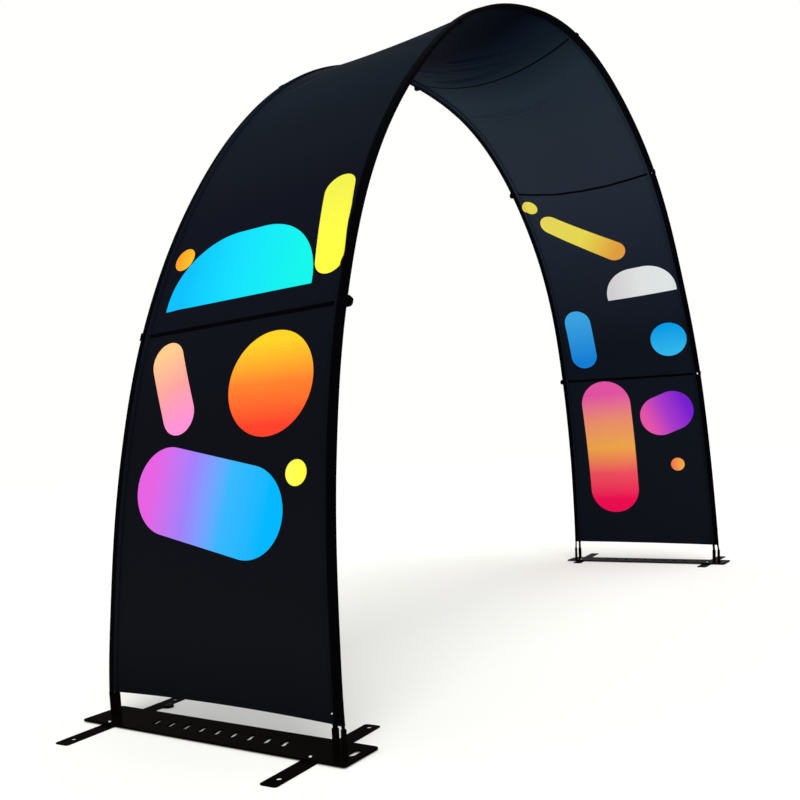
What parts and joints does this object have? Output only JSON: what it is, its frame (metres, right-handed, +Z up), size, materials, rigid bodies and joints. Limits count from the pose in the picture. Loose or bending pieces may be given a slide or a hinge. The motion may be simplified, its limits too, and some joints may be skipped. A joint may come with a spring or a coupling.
{
  "type": "fabric banner arch with pole frame and base plates",
  "caption": "Free-standing banner arch: stretch cloth held between bent pole hoops in edge sleeves, on flat steel bases with foot bars.",
  "frame": {"origin": "on the floor, at the middle of the footprint", "axes": "+X along the span towards the far leg, +Y across the cloth towards the back edge, +Z up"},
  "size_m": [5.6638, 1.2425, 3.076],
  "materials": {
    "cloth": "matt stretch polyester with a dye-printed pattern",
    "tape": "flat black seam binding",
    "pole": "satin black coated tube",
    "clip": "moulded black plastic",
    "steel": "semi-gloss black powder coat",
    "rubber": "plain black rubber",
    "stud": "bright pressed metal",
    "bolt": "bright zinc-plated steel"
  },
  "bodies": {
    "root": {"cloth_panel_near_low": "cloth", "cloth_panel_near_middle": "cloth", "cloth_panel_near_top": "cloth", "cloth_panel_far_top": "cloth", "cloth_panel_far_middle": "cloth", "cloth_panel_far_low": "cloth", "seam_tape_near_low": "tape", "seam_tape_near_high": "tape", "seam_tape_crown": "tape", "seam_tape_far_high": "tape", "seam_tape_far_low": "tape", "pole_thick_front": "pole", "pole_thick_back": "pole", "pole_thin_front": "pole", "pole_thin_back": "pole", "clip_near_low_front": "clip", "clip_near_low_back": "clip", "clip_near_high_front": "clip", "clip_near_high_back": "clip", "clip_crown_front": "clip", "clip_crown_back": "clip", "clip_far_high_front": "clip", "clip_far_high_back": "clip", "clip_far_low_front": "clip", "clip_far_low_back": "clip", "hem_stud_near_front": "stud", "base_plate_near": "steel", "base_plate_far": "steel", "foot_bar_near_back": "steel", "bar_bolt_near_back": "bolt", "foot_bar_near_front": "steel", "bar_bolt_near_front": "bolt", "foot_bar_far_back": "steel", "bar_bolt_far_back": "bolt", "foot_bar_far_front": "steel", "bar_bolt_far_front": "bolt", "rubber_pad_near_back": "rubber"}
  },
  "joints": []
}
